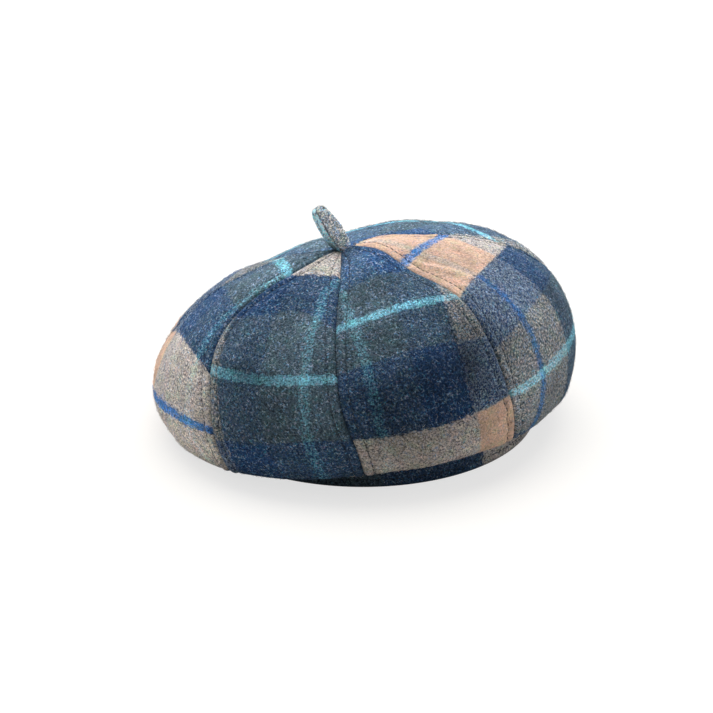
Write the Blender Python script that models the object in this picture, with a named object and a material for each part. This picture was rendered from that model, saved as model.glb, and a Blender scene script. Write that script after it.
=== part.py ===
# Eight-gore tam o' shanter in soft plaid wool: a puffed crown, a headband and a stem.
# Metres, +Z up. The front seam faces -Y and the hat rests on the lower rim of its band.

import math

import bmesh
import bpy
import numpy as np

# Cloth
CLOTH = 0.0020              # thickness of the crown's wool
GAP = 0.0003                # space kept between neighbouring pieces
SEAM_SINK = 0.0016          # how far a seam lies below the puffed panels
SEAM_REACH = 0.0070         # half the width of the hollow along a seam

# Headband
BAND_INNER_DIAMETER = 0.1846  # 58 cm around the head
BAND_WALL = 0.0030            # doubled cloth
BAND_HEIGHT = 0.0260
BAND_ROUNDING = 0.0009        # fold at the upper and lower edge

# Crown
CROWN_HEIGHT = 0.0940       # apex above the surface the hat rests on
CROWN_OVERHANG = 0.0320     # how far the fullest side reaches past the band
CROWN_SLUMP = 0.0116        # the upper crown leans this far towards -X
APEX_HOLE = 0.0030          # radius of the opening that the stem's root fills
FOLD_HEIGHT = 0.0030        # height of the strongest soft fold in the crown
FOLD_SPAN = 0.0300          # width of a broad fold

# Stem
STEM_LENGTH = 0.0292
STEM_WIDTH = 0.0098
STEM_THICKNESS = 0.0052
STEM_ROOT = 0.0024          # radius of the root inside the apex hole
STEM_LEAN = 29.0            # degrees from upright, towards -X
STEM_TURN = -24.0           # degrees about its own axis

# One row for each seam, counter-clockwise from +X seen from above.
# azimuth, bend_high, bend_low: degrees.  reach: share of CROWN_OVERHANG.
# rim, swell: shares of CROWN_HEIGHT.  hang: share of BAND_HEIGHT.
# lip: share of the overhang.  fullness: exponent of the dome's curve.
COLUMNS = ("azimuth", "bend_high", "bend_low", "reach", "rim", "hang", "lip", "fullness", "swell")
SEAMS = {
    "right":       (17.0, 3.0, 0.0, 1.00, 0.500, 0.76, 0.45, 2.60, 0.070),
    "back_right":  (56.0, 0.0, 0.0, 1.09, 0.490, 0.72, 0.45, 2.45, -0.030),
    "back":        (94.0, 0.0, 0.0, 0.52, 0.400, 0.60, 0.50, 1.90, -0.100),
    "back_left":   (134.0, 0.0, 0.0, 0.33, 0.300, 0.45, 0.65, 1.52, -0.070),
    "left":        (173.0, 0.0, 0.0, 0.28, 0.190, 0.26, 0.85, 1.66, 0.010),
    "front_left":  (230.0, -13.0, 3.0, 0.48, 0.200, 0.15, 0.72, 1.90, 0.035),
    "front":       (270.0, -2.0, 3.0, 0.48, 0.320, 0.46, 0.45, 2.05, 0.020),
    "front_right": (318.0, 7.0, 0.0, 0.70, 0.420, 0.74, 0.45, 2.15, 0.090),
}

DOME_END = 0.70             # share of the way down where the rim is reached
LIP_END = 0.86              # share where the crown hangs lowest
SEAT_START = 0.975          # share where the underside meets the top of the band
UPPER_BEND = 0.62           # share where bend_high has died away
LOWER_BEND = 0.50           # share where bend_low begins
SLUMP_START = 0.58          # share where the slump begins to die away
SEAM_FADE = 0.64            # share where the seams begin to flatten towards the lip

# Soft folds and dips.  azimuth: degrees.  along: 0 at the apex, 1 at the band.
# rise: share of FOLD_HEIGHT.  across, length: shares of FOLD_SPAN, around and down the crown.
FOLDS = {
    "hump_by_stem":     dict(azimuth=300.0, along=0.10, rise=1.00, across=0.40, length=0.40),
    "dip_front_right":  dict(azimuth=322.0, along=0.17, rise=-0.80, across=0.35, length=0.32),
    "swell_over_dip":   dict(azimuth=324.0, along=0.33, rise=1.20, across=0.60, length=0.45),
    "dimple_front_left": dict(azimuth=243.0, along=0.40, rise=-0.60, across=0.60, length=0.60),
    "puff_front":       dict(azimuth=294.0, along=0.52, rise=0.50, across=1.00, length=0.90),
    "puff_left":        dict(azimuth=205.0, along=0.50, rise=0.50, across=0.80, length=0.80),
    "puff_right":       dict(azimuth=348.0, along=0.55, rise=0.50, across=0.90, length=0.90),
    "sag_back_left":    dict(azimuth=115.0, along=0.45, rise=-0.50, across=1.00, length=0.80),
    "fold_low_right":   dict(azimuth=338.0, along=0.74, rise=-0.50, across=0.35, length=0.60),
    "fold_low_front":   dict(azimuth=283.0, along=0.76, rise=-0.35, across=0.30, length=0.60),
}

# Steps of the crown's grid, closer together at the seams and around the rim
ACROSS = (-1.0, -0.88, -0.66, -0.34, 0.0, 0.34, 0.66, 0.88, 1.0)
DOWN = (0.0, 0.03, 0.07, 0.12, 0.18, 0.24, 0.30, 0.36, 0.42, 0.48, 0.54, 0.60, 0.65,
        0.70, 0.74, 0.78, 0.82, 0.86, 0.89, 0.92, 0.95, SEAT_START, 1.0)
BAND_STEPS = 56

# Stem sections.  along: share of STEM_LENGTH.  width, thickness: shares of the named sizes.
STEM_SECTIONS = (
    dict(along=0.14, width=0.68, thickness=0.80),
    dict(along=0.26, width=0.88, thickness=0.92),
    dict(along=0.42, width=1.00, thickness=1.00),
    dict(along=0.60, width=1.00, thickness=1.00),
    dict(along=0.78, width=0.90, thickness=0.98),
    dict(along=0.91, width=0.80, thickness=0.90),
    dict(along=0.97, width=0.60, thickness=0.70),
    dict(along=1.00, width=0.34, thickness=0.40),
)
STEM_SIDES = 16

BAND_INNER = BAND_INNER_DIAMETER / 2
BAND_OUTER = BAND_INNER + BAND_WALL
SEAM_NAMES = list(SEAMS)


def column(name, azimuth):
    """Value of one table column at any azimuth, smooth all the way around."""
    index = COLUMNS.index(name)
    places = np.array([row[0] for row in SEAMS.values()])
    values = np.array([row[index] for row in SEAMS.values()])
    places = np.concatenate([places - 360, places, places + 360])
    values = np.concatenate([values] * 3)
    slopes = np.gradient(values, places)
    turn = np.mod(azimuth, 360.0)
    i = np.searchsorted(places, turn, side="right") - 1
    step = places[i + 1] - places[i]
    u = (turn - places[i]) / step
    start = (2 * u**3 - 3 * u**2 + 1) * values[i] + (u**3 - 2 * u**2 + u) * step * slopes[i]
    end = (3 * u**2 - 2 * u**3) * values[i + 1] + (u**3 - u**2) * step * slopes[i + 1]
    return start + end


def ease(u):
    """Smooth step from 0 to 1."""
    u = np.clip(u, 0.0, 1.0)
    return u * u * (3 - 2 * u)


def seam_azimuth(k, t):
    """Azimuth of seam k at share t of the way down."""
    row = dict(zip(COLUMNS, SEAMS[SEAM_NAMES[k % 8]]))
    high = np.sin(math.pi * np.clip(t / UPPER_BEND, 0, 1)) ** 2
    low = np.sin(math.pi * np.clip((t - LOWER_BEND) / (1 - LOWER_BEND), 0, 1)) ** 2
    return row["azimuth"] + row["bend_high"] * high + row["bend_low"] * low + 360 * (k // 8)


def crown_radius(azimuth):
    """Radius of the crown's rim, before the slump."""
    return BAND_OUTER + CROWN_OVERHANG * column("reach", azimuth)


def first_share(azimuth):
    """Share of the way down at the edge of the apex hole."""
    sine = (APEX_HOLE / crown_radius(azimuth)) ** (column("fullness", azimuth) / 2)
    return np.arcsin(sine) * 2 / math.pi * DOME_END


def crown_surface(azimuth, t):
    """Outer face of the smooth crown: dome, rolled lip, then the underside up to the band."""
    rim_radius = crown_radius(azimuth)
    rim = column("rim", azimuth) * CROWN_HEIGHT
    hang = column("hang", azimuth) * BAND_HEIGHT
    power = 2 / column("fullness", azimuth)
    swell = column("swell", azimuth) * CROWN_HEIGHT
    seat = BAND_HEIGHT + GAP
    clear = BAND_OUTER + CLOTH
    lip_radius = clear + (rim_radius - clear) * column("lip", azimuth)

    a = np.clip(t / DOME_END, 0, 1) * math.pi / 2
    share = np.sin(a) ** power
    dome_z = rim + (CROWN_HEIGHT - rim) * np.clip(np.cos(a), 0, 1) ** power
    dome_z = dome_z + 1.15 * swell * np.sin(math.pi * share**0.62) * (1 - share) ** 0.35

    b = np.clip((t - DOME_END) / (LIP_END - DOME_END), 0, 1) * math.pi / 2
    lip_r = lip_radius + (rim_radius - lip_radius) * np.cos(b)
    lip_z = rim - (rim - hang) * np.sin(b)

    u = np.clip((t - LIP_END) / (SEAT_START - LIP_END), 0, 1)
    seat_radius = BAND_OUTER + 3 * GAP
    inward = lip_radius - seat_radius
    first, second = lip_radius - inward * 0.90, seat_radius + inward * 0.55
    w = ((1 - u) ** 3, 3 * (1 - u) ** 2 * u, 3 * (1 - u) * u**2, u**3)
    under_r = w[0] * lip_radius + w[1] * first + w[2] * second + w[3] * seat_radius
    under_r = under_r - (seat_radius - BAND_INNER) * np.clip((t - SEAT_START) / (1 - SEAT_START), 0, 1)
    under_z = (w[0] + w[1]) * hang + (w[2] + w[3]) * seat

    r = np.where(t <= DOME_END, rim_radius * share, np.where(t <= LIP_END, lip_r, under_r))
    z = np.where(t <= DOME_END, dome_z, np.where(t <= LIP_END, lip_z, under_z))
    slump = CROWN_SLUMP * (1 - ease((t - SLUMP_START) / (SEAT_START - SLUMP_START)))
    turn = np.radians(azimuth)
    return np.stack([r * np.cos(turn) - slump, r * np.sin(turn), z], -1)


def crown_frame(azimuth, t):
    """Point and outward direction of the smooth crown."""
    point = crown_surface(azimuth, t)
    around = crown_surface(azimuth + 0.2, t) - crown_surface(azimuth - 0.2, t)
    before, after = np.maximum(t - 0.002, 0), np.minimum(t + 0.002, 1)
    down = crown_surface(azimuth, after) - crown_surface(azimuth, before)
    outward = np.cross(down, around)
    return point, outward / np.linalg.norm(outward, axis=-1, keepdims=True)


def fold_rise(azimuth, t, radius):
    """Height of all the soft folds together."""
    total = np.zeros_like(t)
    length_down = crown_radius(azimuth) * 1.35
    for fold in FOLDS.values():
        offset = np.mod(azimuth - fold["azimuth"] + 180, 360) - 180
        across = np.radians(offset) * radius / (fold["across"] * FOLD_SPAN)
        along = (t - fold["along"]) * length_down / (fold["length"] * FOLD_SPAN)
        total = total + fold["rise"] * FOLD_HEIGHT * np.exp(-across**2 - along**2)
    return total


def panel_grid(k):
    """Outer points and outward directions of panel k, one row for each step down."""
    u, s = np.meshgrid(np.array(ACROSS), np.array(DOWN))
    middle = (seam_azimuth(k, s) + seam_azimuth(k + 1, s)) / 2
    t = first_share(middle) * (1 - s) + s
    near, far = seam_azimuth(k, t), seam_azimuth(k + 1, t)
    azimuth = near + (far - near) * (u + 1) / 2
    start = first_share(azimuth)
    t = start + (1 - start) * s
    point, outward = crown_frame(azimuth, t)
    radius = np.hypot(point[..., 0], point[..., 1])
    half = np.radians(far - near) / 2 * np.maximum(crown_radius(azimuth) * np.sin(t * 2), APEX_HOLE)
    to_seam = (1 - np.abs(u)) * half
    fade = ease(s / 0.12) * ease((1 - s) / 0.10)
    lift = fold_rise(azimuth, t, radius) * fade
    depth = SEAM_SINK * (1 - 0.7 * ease((t - SEAM_FADE) / 0.12))
    lift = lift - depth * fade * np.exp(-((to_seam / SEAM_REACH) ** 2))
    point = point + outward * lift[..., None]
    lateral = np.cross(outward, np.gradient(point, axis=0))
    lateral /= np.linalg.norm(lateral, axis=-1, keepdims=True)
    point = point - lateral * (u * (GAP / 2 + 0.00002))[..., None]
    upright = 1 - ease(s / 0.10)[..., None]
    outward = outward * (1 - upright) + np.array([0.0, 0.0, 1.0]) * upright
    return point, outward / np.linalg.norm(outward, axis=-1, keepdims=True)


def new_object(name, mesh_data, material):
    """Turn a bmesh into a named object with one material."""
    mesh = bpy.data.meshes.new(name)
    bmesh.ops.recalc_face_normals(mesh_data, faces=mesh_data.faces)
    mesh_data.to_mesh(mesh)
    mesh_data.free()
    mesh.materials.append(material)
    mesh.shade_smooth()
    mesh.set_sharp_from_angle(angle=math.radians(40))
    thing = bpy.data.objects.new(name, mesh)
    bpy.context.scene.collection.objects.link(thing)
    return thing


def closed_sheet(outer, inner):
    """Closed solid between two grids of points."""
    sheet = bmesh.new()
    rows, steps = outer.shape[:2]
    top = [[sheet.verts.new(p) for p in row] for row in outer]
    under = [[sheet.verts.new(p) for p in row] for row in inner]
    for i in range(rows - 1):
        for j in range(steps - 1):
            sheet.faces.new((top[i][j], top[i + 1][j], top[i + 1][j + 1], top[i][j + 1]))
            sheet.faces.new((under[i][j], under[i][j + 1], under[i + 1][j + 1], under[i + 1][j]))
    for j in range(steps - 1):
        sheet.faces.new((top[0][j], top[0][j + 1], under[0][j + 1], under[0][j]))
        sheet.faces.new((top[-1][j], under[-1][j], under[-1][j + 1], top[-1][j + 1]))
    for i in range(rows - 1):
        for j in (0, -1):
            sheet.faces.new((top[i][j], top[i + 1][j], under[i + 1][j]))
            sheet.faces.new((top[i][j], under[i + 1][j], under[i][j]))
    return sheet


def ring_solid(profile, steps):
    """Turn a closed profile of (radius, height) pairs around the Z axis."""
    ring = bmesh.new()
    loops = []
    for i in range(steps):
        turn = 2 * math.pi * i / steps
        loops.append([ring.verts.new((r * math.cos(turn), r * math.sin(turn), z)) for r, z in profile])
    count = len(profile)
    for i in range(steps):
        here, there = loops[i], loops[(i + 1) % steps]
        for j in range(count):
            ring.faces.new((here[j], here[(j + 1) % count], there[(j + 1) % count], there[j]))
    return ring


def band_profile():
    """Section of the band: doubled cloth with a soft fold at each edge and a flat foot."""
    c = min(BAND_ROUNDING, BAND_WALL * 0.4)
    inner, outer, top = BAND_INNER, BAND_OUTER, BAND_HEIGHT
    return [(inner + c, 0), (outer - c, 0), (outer - 0.3 * c, 0.3 * c), (outer, c), (outer, top - c),
            (outer - 0.3 * c, top - 0.3 * c), (outer - c, top), (inner + c, top),
            (inner + 0.3 * c, top - 0.3 * c), (inner, top - c), (inner, c), (inner + 0.3 * c, 0.3 * c)]


def stem_solid():
    """Folded tab on a round root that goes down into the apex."""
    stem = bmesh.new()
    lean, turn = math.radians(STEM_LEAN), math.radians(STEM_TURN)
    foot = np.array([-CROWN_SLUMP, 0.0, CROWN_HEIGHT])
    neck = 0.12 * STEM_LENGTH
    axis = np.array([-math.sin(lean), 0.0, math.cos(lean)])
    wide = np.array([math.cos(lean) * math.cos(turn), math.sin(turn), math.sin(lean) * math.cos(turn)])
    thick = np.cross(axis, wide)
    angles = [2 * math.pi * i / STEM_SIDES for i in range(STEM_SIDES)]
    loops = []
    for height in (-CLOTH * 1.2, 0.35 * neck):
        centre = foot + np.array([0.0, 0.0, height])
        loops.append([centre + STEM_ROOT * np.array([math.cos(a + turn), math.sin(a + turn), 0]) for a in angles])
    for row in STEM_SECTIONS:
        centre = foot + axis * (row["along"] * STEM_LENGTH)
        half_wide, half_thick = row["width"] * STEM_WIDTH / 2, row["thickness"] * STEM_THICKNESS / 2
        loop = []
        for a in angles:
            x = half_wide * math.copysign(abs(math.cos(a)) ** 0.45, math.cos(a))
            y = half_thick * math.copysign(abs(math.sin(a)) ** 0.45, math.sin(a))
            loop.append(centre + wide * x + thick * y)
        loops.append(loop)
    rings = [[stem.verts.new(p) for p in loop] for loop in loops]
    for here, there in zip(rings, rings[1:]):
        for j in range(STEM_SIDES):
            n = (j + 1) % STEM_SIDES
            stem.faces.new((here[j], here[n], there[n], there[j]))
    stem.faces.new(rings[0][::-1])
    stem.faces.new(rings[-1])
    return stem


def cloth_material(name, colour):
    """Plain wool colour."""
    material = bpy.data.materials.new(name)
    material.use_nodes = True
    shader = material.node_tree.nodes["Principled BSDF"]
    shader.inputs["Base Color"].default_value = (*colour, 1.0)
    shader.inputs["Roughness"].default_value = 0.95
    shader.inputs["Metallic"].default_value = 0.0
    material.diffuse_color = (*colour, 1.0)
    return material


def build():
    for thing in list(bpy.data.objects):
        bpy.data.objects.remove(thing, do_unlink=True)

    plaid = cloth_material("crown_wool", (0.16, 0.21, 0.27))
    band_wool = cloth_material("band_wool", (0.09, 0.13, 0.18))
    stem_wool = cloth_material("stem_wool", (0.24, 0.27, 0.29))

    pieces = []
    for k in range(8):
        outer, outward = panel_grid(k)
        pieces.append(new_object(f"crown_panel_{k + 1}", closed_sheet(outer, outer - outward * CLOTH), plaid))
    pieces.append(new_object("headband", ring_solid(band_profile(), BAND_STEPS), band_wool))
    pieces.append(new_object("stem", stem_solid(), stem_wool))

    corners = np.array([v.co for piece in pieces for v in piece.data.vertices])
    low, high = corners.min(0), corners.max(0)
    hat = bpy.data.objects.new("hat", None)
    bpy.context.scene.collection.objects.link(hat)
    hat.location = (-(low[0] + high[0]) / 2, -(low[1] + high[1]) / 2, -low[2])
    for piece in pieces:
        piece.parent = hat


build()
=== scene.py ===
# %% [markdown]
# A tam o' shanter is a soft, round wool cap. Eight gores meet at a short stem in the middle, puff
# out past the head, turn under at the rim and are sewn to a band that grips the head. The frame
# that is loaded here holds the measured, plain version of each piece. This lesson sews the looks
# over it: folds, seams, topstitching, a woven plaid and the fuzz of brushed wool.
# %% Load the measured frame
import math

import bpy
import numpy as np
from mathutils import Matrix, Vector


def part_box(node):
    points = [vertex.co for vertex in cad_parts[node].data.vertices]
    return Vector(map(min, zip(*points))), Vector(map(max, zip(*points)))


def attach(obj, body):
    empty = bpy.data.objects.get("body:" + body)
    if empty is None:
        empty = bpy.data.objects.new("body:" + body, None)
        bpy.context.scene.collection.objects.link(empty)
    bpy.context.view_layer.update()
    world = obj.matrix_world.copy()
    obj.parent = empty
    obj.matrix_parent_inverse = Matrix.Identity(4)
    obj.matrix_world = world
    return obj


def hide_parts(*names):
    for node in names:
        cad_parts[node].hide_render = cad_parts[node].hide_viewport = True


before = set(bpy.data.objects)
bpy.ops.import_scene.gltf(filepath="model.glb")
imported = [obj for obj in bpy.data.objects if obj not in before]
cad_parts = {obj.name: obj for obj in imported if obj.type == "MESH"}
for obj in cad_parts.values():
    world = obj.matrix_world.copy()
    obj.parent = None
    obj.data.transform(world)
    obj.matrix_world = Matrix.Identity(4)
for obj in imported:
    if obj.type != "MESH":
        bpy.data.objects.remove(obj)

scene = bpy.context.scene
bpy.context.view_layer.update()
print("frame pieces:", sorted(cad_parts))

# %% [markdown]
# A few small tools serve the whole lesson. They add objects, meshes and nodes, link nodes together
# and start a material.
# %% Small tools
def add_object(name, data):
    """An object at the origin, in the scene."""
    thing = bpy.data.objects.new(name, data)
    scene.collection.objects.link(thing)
    return thing


def add_mesh(name, vertices, faces, edges=()):
    """A smooth mesh object at the origin."""
    mesh = bpy.data.meshes.new(name)
    mesh.from_pydata(vertices, edges, faces)
    mesh.update()
    mesh.shade_smooth()
    return add_object(name, mesh)


def add_node(tree, kind, values=None, **settings):
    """A node with its settings made and its values typed into its sockets."""
    made = tree.nodes.new(kind)
    for key, value in settings.items():
        setattr(made, key, value)
    for key, value in (values or {}).items():
        made.inputs[key].default_value = value
    return made


def link_all(tree, pairs):
    """Link each (output, input) pair."""
    for out, into in pairs:
        tree.links.new(out, into)


def maths(tree, operation, first, second=None, third=None, clamp=False):
    """One Math node; numbers are typed in, sockets are linked."""
    made = add_node(tree, "ShaderNodeMath", operation=operation, use_clamp=clamp)
    for slot, value in zip(made.inputs, (first, second, third)):
        if isinstance(value, (int, float)):
            slot.default_value = value
        elif value is not None:
            tree.links.new(value, slot)
    return made.outputs[0]


def new_material(name, values):
    """A material, its node tree, and its shader with these values typed in."""
    material = bpy.data.materials.new(name)
    material.use_nodes = True
    shader = material.node_tree.nodes["Principled BSDF"]
    for key, value in values.items():
        shader.inputs[key].default_value = value
    return material, material.node_tree, shader


# %% [markdown]
# The camera comes before the cap, because everything is judged through it. A long lens from a little above
# keeps the cap's ellipse calm, the way a product photographer would take it.
# %% Camera
CAMERA_PLACE = (-0.0043, -1.2666, 0.6047)
CAMERA_PITCH = 65.6         # degrees up from straight down
CAMERA_LENS = 127.6         # millimetres, on a sensor 36 mm wide

lens = bpy.data.cameras.new("studio_camera")
lens.sensor_width = 36.0
lens.lens = CAMERA_LENS
lens.clip_start, lens.clip_end = 0.05, 30.0
camera = add_object("studio_camera", lens)
camera.location = CAMERA_PLACE
camera.rotation_euler = (math.radians(CAMERA_PITCH), 0.0, 0.0)
scene.camera = camera
print("camera at", [round(v, 3) for v in camera.location])

# %% [markdown]
# The light is plain and soft. A sun lamp with a wide angle acts like a large softbox, because its
# shadow has no edge. The strong one leans in from behind, so the top of the cap catches far more
# light than the side that faces the camera. Weaker ones at the left and right and a little even
# fill from the world soften that. The pale floor also glows, for the camera only, which keeps it
# white around the shadow.
# %% Floor, lamps and fill
FLOOR_SIZE = 9.0
FLOOR_COLOUR = (0.52, 0.50, 0.465, 1)
FLOOR_GLOW = 1.34
GLOW_SHARE = 0.52
WORLD_FILL = 0.15


def studio_floor():
    """A wide pale floor on the plane that the cap rests on."""
    half = FLOOR_SIZE / 2
    corners = [(-half, -half, 0), (half, -half, 0), (half, half, 0), (-half, half, 0)]
    floor = add_mesh("studio_floor", corners, [(0, 1, 2, 3)])
    paper, tree, shader = new_material("studio_paper", {
        "Base Color": FLOOR_COLOUR, "Roughness": 0.9, "Specular IOR Level": 0.1})
    seen = add_node(tree, "ShaderNodeLightPath").outputs["Is Camera Ray"]
    glow = add_node(tree, "ShaderNodeEmission", {"Strength": FLOOR_GLOW})
    blend = add_node(tree, "ShaderNodeMixShader")
    link_all(tree, [
        (maths(tree, "MULTIPLY", seen, GLOW_SHARE), blend.inputs[0]),
        (shader.outputs[0], blend.inputs[1]),
        (glow.outputs[0], blend.inputs[2]),
        (blend.outputs[0], tree.nodes["Material Output"].inputs["Surface"]),
    ])
    floor.data.materials.append(paper)
    return floor


def soft_lamp(name, strength, spread, pitch, heading, colour):
    """A sun lamp. Pitch is degrees away from straight down, heading where it leans from."""
    lamp = bpy.data.lights.new(name, "SUN")
    lamp.energy = strength
    lamp.angle = math.radians(spread)
    lamp.color = colour
    add_object(name, lamp).rotation_euler = (math.radians(pitch), 0.0, math.radians(heading))


studio_floor()
soft_lamp("softbox_behind", 4.8, 64.0, 35.0, 180.0, (1.0, 0.99, 0.97))
soft_lamp("softbox_left", 0.85, 60.0, 50.0, 262.0, (1.0, 0.99, 0.98))
soft_lamp("softbox_right", 0.9, 60.0, 66.0, 96.0, (0.98, 0.99, 1.0))
world = bpy.data.worlds.new("studio_air")
world.use_nodes = True
air = world.node_tree.nodes["Background"]
air.inputs["Color"].default_value = (0.93, 0.96, 1.0, 1)
air.inputs["Strength"].default_value = WORLD_FILL
scene.world = world
scene.view_settings.view_transform = "Standard"
scene.view_settings.look = "None"

# %% [markdown]
# The crown follows a rule, not a sculpt. Going round the head, each seam has its own reach, rim
# height and puff, and the surface flows smoothly between them. Going down, the outline is a dome,
# then a rolled lip, then an underside that turns in to the top of the band. The numbers are shares
# of a few named sizes, so the cap can be made larger or puffier by changing one value.
# %% Named sizes
MM = 0.001
band_low, band_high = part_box("headband")
AXIS = np.array([(band_low.x + band_high.x) / 2, (band_low.y + band_high.y) / 2, 0.0])
BAND_OUTER = (band_high.x - band_low.x) / 2
BAND_HEIGHT = band_high.z
BAND_INNER = BAND_OUTER - 3.0 * MM
CLOTH = 2.0 * MM
GAP = 0.3 * MM
CROWN_HEIGHT = 94.0 * MM
CROWN_OVERHANG = 32.0 * MM
CROWN_SLUMP = 11.6 * MM
APEX_HOLE = 3.0 * MM
FOLD_HEIGHT = 3.0 * MM
FOLD_SPAN = 30.0 * MM
SEAM_SINK = 0.8 * MM
SEAM_REACH = 7.0 * MM
print("band radius %.1f mm, height %.1f mm" % (BAND_OUTER / MM, BAND_HEIGHT / MM))

# %% Seams around the crown
# azimuth, bend_high, bend_low: degrees.  reach: share of CROWN_OVERHANG.
# rim, swell: shares of CROWN_HEIGHT.  hang: share of BAND_HEIGHT.
# lip: share of the overhang.  fullness: exponent of the dome's curve.
COLUMNS = ("azimuth", "bend_high", "bend_low", "reach", "rim", "hang", "lip", "fullness", "swell")
SEAMS = {
    "right":       (17.0, 3.0, 0.0, 1.00, 0.500, 0.55, 0.465, 2.60, 0.070),
    "back_right":  (56.0, 0.0, 0.0, 1.09, 0.490, 0.72, 0.45, 2.45, -0.030),
    "back":        (94.0, 0.0, 0.0, 0.52, 0.400, 0.60, 0.50, 1.90, -0.100),
    "back_left":   (134.0, 0.0, 0.0, 0.33, 0.300, 0.45, 0.65, 1.52, -0.070),
    "left":        (173.0, 0.0, 0.0, 0.28, 0.190, 0.26, 0.85, 1.66, 0.010),
    "front_left":  (230.0, -13.0, 3.0, 0.48, 0.200, 0.15, 0.72, 1.90, 0.035),
    "front":       (270.0, -2.0, 3.0, 0.48, 0.320, 0.43, 0.45, 2.05, 0.020),
    "front_right": (318.0, 2.5, 0.0, 0.70, 0.420, 0.66, 0.50, 2.15, 0.090),
}
DOME_END = 0.70             # share of the way down where the rim is reached
LIP_END = 0.86              # share where the crown hangs lowest
SEAT_START = 0.975          # share where the underside meets the top of the band
UPPER_BEND = 0.62           # share where bend_high has died away
LOWER_BEND = 0.50           # share where bend_low begins
SLUMP_START = 0.58          # share where the slump begins to die away
SEAM_FADE = 0.64            # share where the seams begin to flatten towards the lip
SEAM_NAMES = list(SEAMS)

# %% Soft folds pressed into the crown
# azimuth: degrees.  along: 0 at the apex, 1 at the band.  rise: share of FOLD_HEIGHT.
# across, length: shares of FOLD_SPAN, around and down the crown.
FOLDS = {
    "hump_by_stem":     dict(azimuth=300.0, along=0.10, rise=1.00, across=0.40, length=0.40),
    "dip_front_right":  dict(azimuth=322.0, along=0.17, rise=-0.80, across=0.35, length=0.32),
    "swell_over_dip":   dict(azimuth=324.0, along=0.33, rise=1.20, across=0.60, length=0.45),
    "dimple_front_left": dict(azimuth=243.0, along=0.40, rise=-0.60, across=0.60, length=0.60),
    "puff_front":       dict(azimuth=294.0, along=0.52, rise=0.50, across=1.00, length=0.90),
    "puff_left":        dict(azimuth=205.0, along=0.50, rise=0.50, across=0.80, length=0.80),
    "puff_right":       dict(azimuth=348.0, along=0.55, rise=0.50, across=0.90, length=0.90),
    "sag_back_left":    dict(azimuth=115.0, along=0.45, rise=-0.50, across=1.00, length=0.80),
    "fold_low_right":   dict(azimuth=338.0, along=0.74, rise=-0.50, across=0.35, length=0.60),
    "fold_low_front":   dict(azimuth=283.0, along=0.76, rise=-0.35, across=0.30, length=0.60),
    "shoulder_behind":  dict(azimuth=112.0, along=0.25, rise=0.90, across=0.90, length=0.75),
    "sag_back_right":   dict(azimuth=60.0, along=0.40, rise=-0.50, across=0.70, length=0.70),
    "shoulder_left":    dict(azimuth=146.0, along=0.34, rise=0.70, across=0.60, length=0.60),
}


# %% The smooth crown
def column(name, azimuth):
    """Value of one table column at any azimuth, smooth all the way around."""
    index = COLUMNS.index(name)
    places = np.array([row[0] for row in SEAMS.values()])
    values = np.array([row[index] for row in SEAMS.values()])
    places = np.concatenate([places - 360, places, places + 360])
    values = np.concatenate([values] * 3)
    slopes = np.gradient(values, places)
    turn = np.mod(azimuth, 360.0)
    i = np.searchsorted(places, turn, side="right") - 1
    step = places[i + 1] - places[i]
    u = (turn - places[i]) / step
    start = (2 * u**3 - 3 * u**2 + 1) * values[i] + (u**3 - 2 * u**2 + u) * step * slopes[i]
    end = (3 * u**2 - 2 * u**3) * values[i + 1] + (u**3 - u**2) * step * slopes[i + 1]
    return start + end


def ease(u):
    """Smooth step from 0 to 1."""
    u = np.clip(u, 0.0, 1.0)
    return u * u * (3 - 2 * u)


def seam_azimuth(k, t):
    """Azimuth of seam k at share t of the way down."""
    row = dict(zip(COLUMNS, SEAMS[SEAM_NAMES[k % 8]]))
    high = np.sin(math.pi * np.clip(t / UPPER_BEND, 0, 1)) ** 2
    low = np.sin(math.pi * np.clip((t - LOWER_BEND) / (1 - LOWER_BEND), 0, 1)) ** 2
    return row["azimuth"] + row["bend_high"] * high + row["bend_low"] * low + 360 * (k // 8)


def crown_radius(azimuth):
    """Radius of the crown's rim, before the slump."""
    return BAND_OUTER + CROWN_OVERHANG * column("reach", azimuth)


def first_share(azimuth):
    """Share of the way down at the edge of the apex hole."""
    sine = (APEX_HOLE / crown_radius(azimuth)) ** (column("fullness", azimuth) / 2)
    return np.arcsin(sine) * 2 / math.pi * DOME_END


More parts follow.
